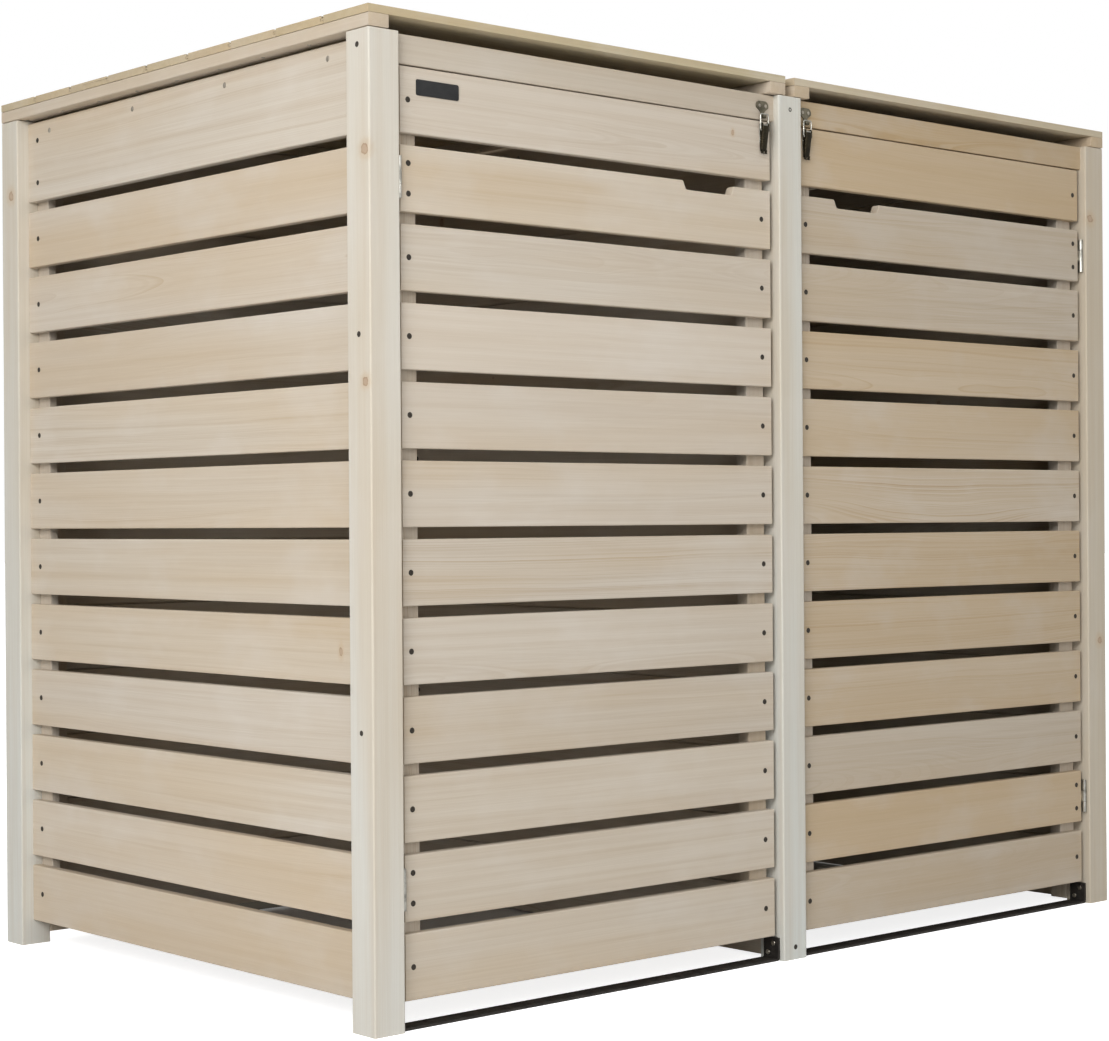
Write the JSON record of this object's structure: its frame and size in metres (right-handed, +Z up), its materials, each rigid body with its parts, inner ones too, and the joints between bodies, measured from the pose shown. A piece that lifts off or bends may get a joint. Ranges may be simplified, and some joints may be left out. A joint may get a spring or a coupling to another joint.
{
  "type": "wheelie bin store",
  "caption": "Slatted timber store for a pair of wheeled bins: post frame, boarded partition, hinged slatted doors with toggle latches, and hinged flat lids.",
  "frame": {"origin": "on the ground, under the middle of the store's bounding box, lid hinges included", "axes": "+X to the right along the doors as one faces them, +Y from the doors to the back wall, +Z up"},
  "size_m": [1.431, 0.88, 1.2],
  "materials": {
    "spruce": "planed, untreated spruce with fine grain along each board",
    "lid_spruce": "planed, untreated spruce boards, slightly yellower",
    "zinc_plated_steel": "bright zinc plating, satin",
    "dull_nickel": "dull nickel plating, darker than the zinc, satin",
    "dark_lever": "dark plated, fairly glossy",
    "bare_steel_bar": "dark flat steel bar, satin",
    "dark_screws": "dark coated screw heads, satin",
    "plate": "black, satin, blank"
  },
  "bodies": {
    "frame": {"front_left_post": "spruce", "front_middle_post": "spruce", "front_right_post": "spruce", "back_left_post": "spruce", "back_middle_post": "spruce", "back_right_post": "spruce", "left_front_rail": "spruce", "right_front_rail": "spruce", "left_back_rail": "spruce", "right_back_rail": "spruce", "left_wall_slats": "spruce", "left_wall_battens": "spruce", "left_wall_top_rail": "spruce", "right_wall_boards": "spruce", "right_wall_battens": "spruce", "right_wall_top_rail": "spruce", "partition_boards": "spruce", "partition_battens": "spruce", "partition_top_rail": "spruce", "left_back_boards": "spruce", "left_back_battens": "spruce", "right_back_boards": "spruce", "right_back_battens": "spruce", "threshold_bars": "bare_steel_bar", "latch_keepers": "dull_nickel", "frame_screws": "dark_screws", "zinc_screws": "zinc_plated_steel", "door_hinge_post_leaves": "zinc_plated_steel", "door_hinge_pins": "zinc_plated_steel", "lid_hinge_rail_leaves": "zinc_plated_steel", "lid_hinge_pins": "zinc_plated_steel"},
    "left_door": {"left_door_slats": "spruce", "left_door_stiles": "spruce", "left_door_screws": "dark_screws", "left_door_hinge_leaves": "zinc_plated_steel", "left_latch_base": "zinc_plated_steel", "left_latch_pin": "zinc_plated_steel", "blank_plate": "plate"},
    "left_lid": {"left_lid_boards": "lid_spruce", "left_lid_side_rails": "lid_spruce", "left_lid_hinge_rail": "lid_spruce", "left_lid_hinge_leaves": "zinc_plated_steel", "left_lid_screws": "zinc_plated_steel"},
    "left_lever": {"left_latch_lever": "dark_lever"},
    "left_bail": {"left_latch_bail": "zinc_plated_steel"},
    "right_door": {"right_door_slats": "spruce", "right_door_stiles": "spruce", "right_door_screws": "dark_screws", "right_door_hinge_leaves": "zinc_plated_steel", "right_latch_base": "zinc_plated_steel", "right_latch_pin": "zinc_plated_steel"},
    "right_lid": {"right_lid_boards": "lid_spruce", "right_lid_side_rails": "lid_spruce", "right_lid_hinge_rail": "lid_spruce", "right_lid_hinge_leaves": "zinc_plated_steel", "right_lid_screws": "zinc_plated_steel"},
    "right_lever": {"right_latch_lever": "dark_lever"},
    "right_bail": {"right_latch_bail": "zinc_plated_steel"}
  },
  "joints": [
    {"name": "left_door_hinge", "type": "hinge", "parent": "frame", "child": "left_door", "pos_m": [-0.6665, -0.433, 0.585], "axis": [0, 0, -1], "range_deg": [0, 135]},
    {"name": "left_lid_hinge", "type": "hinge", "parent": "frame", "child": "left_lid", "pos_m": [-0.36225, 0.437, 1.1735], "axis": [-1, 0, 0], "range_deg": [0, 100]},
    {"name": "left_lever_pivot", "type": "hinge", "parent": "left_door", "child": "left_lever", "pos_m": [-0.0455, -0.435, 1.13], "axis": [-1, 0, 0], "range_deg": [0, 120]},
    {"name": "left_bail_pivot", "type": "hinge", "parent": "left_lever", "child": "left_bail", "pos_m": [-0.0455, -0.435, 1.123], "axis": [-1, 0, 0], "range_deg": [-120, 0]},
    {"name": "right_door_hinge", "type": "hinge", "parent": "frame", "child": "right_door", "pos_m": [0.6665, -0.433, 0.585], "axis": [0, 0, 1], "range_deg": [0, 135]},
    {"name": "right_lid_hinge", "type": "hinge", "parent": "frame", "child": "right_lid", "pos_m": [0.36225, 0.437, 1.1735], "axis": [-1, 0, 0], "range_deg": [0, 100]},
    {"name": "right_lever_pivot", "type": "hinge", "parent": "right_door", "child": "right_lever", "pos_m": [0.04, -0.435, 1.13], "axis": [-1, 0, 0], "range_deg": [0, 120]},
    {"name": "right_bail_pivot", "type": "hinge", "parent": "right_lever", "child": "right_bail", "pos_m": [0.04, -0.435, 1.123], "axis": [-1, 0, 0], "range_deg": [-120, 0]}
  ],
  "couplings": [
    {"joint": "left_bail_pivot", "follows": "left_lever_pivot", "ratio": -1},
    {"joint": "right_bail_pivot", "follows": "right_lever_pivot", "ratio": -1}
  ]
}
